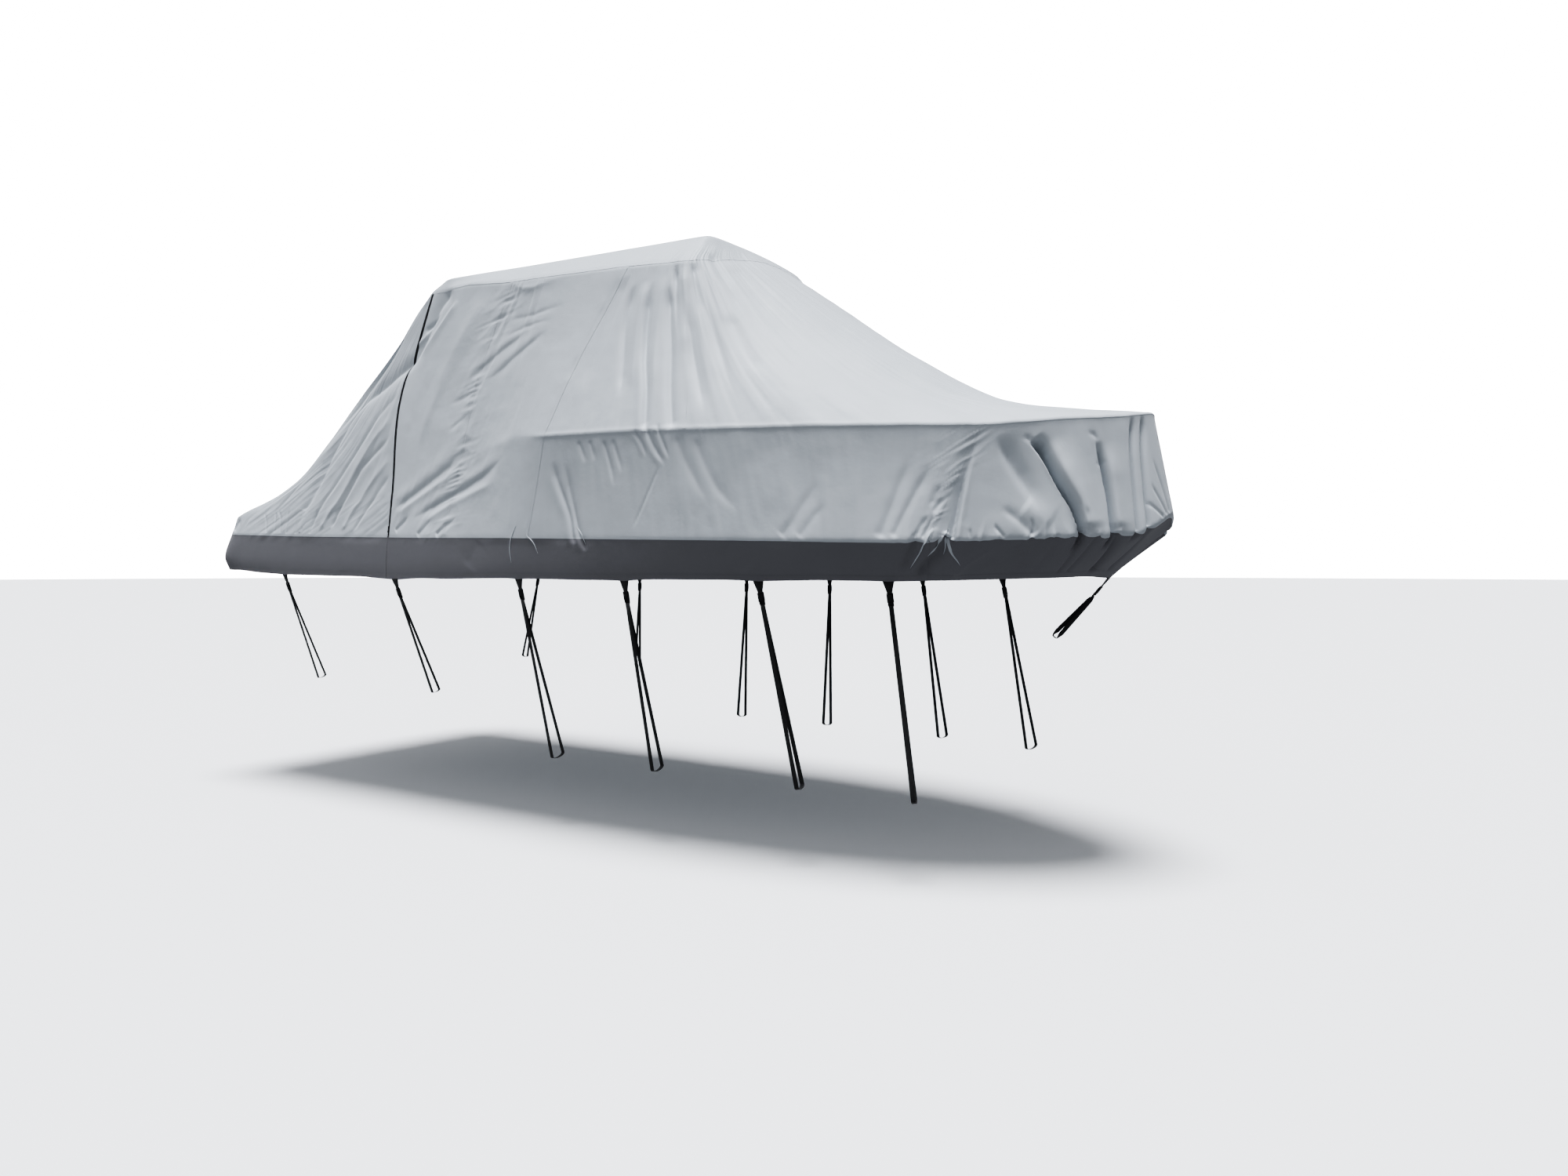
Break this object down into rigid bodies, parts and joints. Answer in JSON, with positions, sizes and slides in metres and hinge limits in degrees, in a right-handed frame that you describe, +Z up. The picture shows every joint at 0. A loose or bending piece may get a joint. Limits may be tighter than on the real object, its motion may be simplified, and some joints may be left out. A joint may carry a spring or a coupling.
{
  "type": "fitted boat cover",
  "caption": "Hollow fitted cover for a hard-top boat: grey cloth draped from the roof to a dark band, side zip, webbing tie-down straps with buckles.",
  "frame": {"origin": "the point just under the middle of the roof cloth, where what is covered holds the cover up", "axes": "+X towards the bow, +Y to port, +Z up"},
  "size_m": [6.8315, 2.5424, 3.2863],
  "materials": {
    "cover_cloth": "light grey woven polyester with a soft coating, matt, softly creased",
    "band_cloth": "dark grey woven polyester, matt",
    "webbing": "black woven polypropylene webbing",
    "buckle_plastic": "black moulded plastic",
    "zip": "black coil zip, closed"
  },
  "bodies": {
    "root": {"roof_panel": "cover_cloth", "stern_panel": "cover_cloth", "front_panel": "cover_cloth", "bow_wall": "cover_cloth", "quarter_panel_starboard": "cover_cloth", "quarter_panel_port": "cover_cloth", "middle_panel_starboard": "cover_cloth", "middle_panel_port": "cover_cloth", "side_panel_starboard": "cover_cloth", "side_panel_port": "cover_cloth", "wall_panel_starboard": "cover_cloth", "wall_panel_port": "cover_cloth", "band_stern": "band_cloth", "band_bow": "band_cloth", "band_starboard": "band_cloth", "band_port": "band_cloth", "zip_starboard": "zip", "tab_starboard_1": "webbing", "tab_starboard_2": "webbing", "tab_starboard_3": "webbing", "tab_starboard_4": "webbing", "tab_starboard_5": "webbing", "tab_starboard_6": "webbing", "tab_port_1": "webbing", "tab_port_2": "webbing", "tab_port_3": "webbing", "tab_port_4": "webbing", "tab_port_5": "webbing", "tab_port_6": "webbing", "tab_bow": "webbing", "buckle_starboard_1": "buckle_plastic", "buckle_starboard_2": "buckle_plastic", "buckle_starboard_3": "buckle_plastic", "buckle_starboard_4": "buckle_plastic", "buckle_starboard_5": "buckle_plastic", "buckle_starboard_6": "buckle_plastic", "buckle_port_1": "buckle_plastic", "buckle_port_2": "buckle_plastic", "buckle_port_3": "buckle_plastic", "buckle_port_4": "buckle_plastic", "buckle_port_5": "buckle_plastic", "buckle_port_6": "buckle_plastic", "buckle_bow": "buckle_plastic", "strap_starboard_1": "webbing", "strap_starboard_2": "webbing", "strap_starboard_3": "webbing", "strap_starboard_4": "webbing", "strap_starboard_5": "webbing", "strap_starboard_6": "webbing", "strap_port_1": "webbing", "strap_port_2": "webbing", "strap_port_3": "webbing", "strap_port_4": "webbing", "strap_port_5": "webbing", "strap_port_6": "webbing", "strap_bow": "webbing"}
  },
  "joints": []
}
